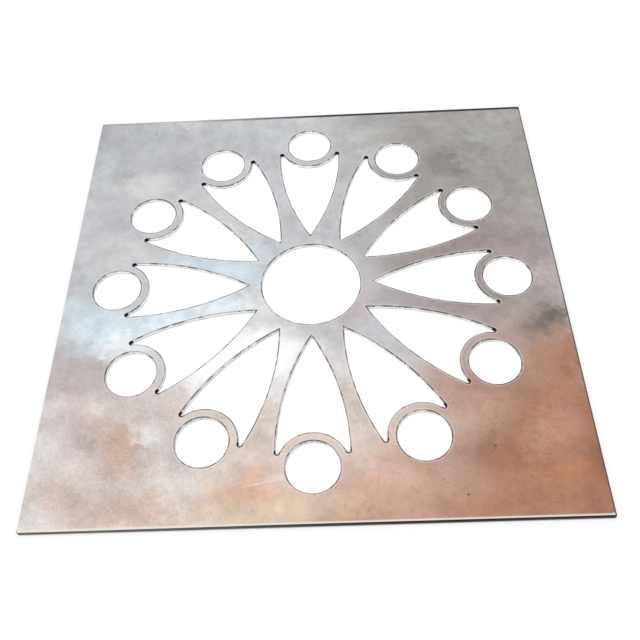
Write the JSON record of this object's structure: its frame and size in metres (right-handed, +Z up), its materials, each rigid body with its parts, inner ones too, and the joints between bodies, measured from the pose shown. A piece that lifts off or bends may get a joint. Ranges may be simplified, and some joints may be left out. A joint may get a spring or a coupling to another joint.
{
  "type": "perforated metal sheet",
  "caption": "Flat square steel sheet cut through with a rosette: a large centre hole, pointed petal openings around it, and a round hole at each petal's outer end.",
  "frame": {"origin": "centre of the sheet's underside, the face it lies on, under the middle of the centre hole", "axes": "+X and +Y along the two sides, each through the middle of a petal; +Z up, out of the upper face"},
  "size_m": [0.3, 0.3, 0.002],
  "materials": {
    "steel": "bare pickled steel, dull, with faint heat tint and brown staining; bright broken edges"
  },
  "bodies": {
    "root": {"perforated_sheet": "steel"}
  },
  "joints": []
}
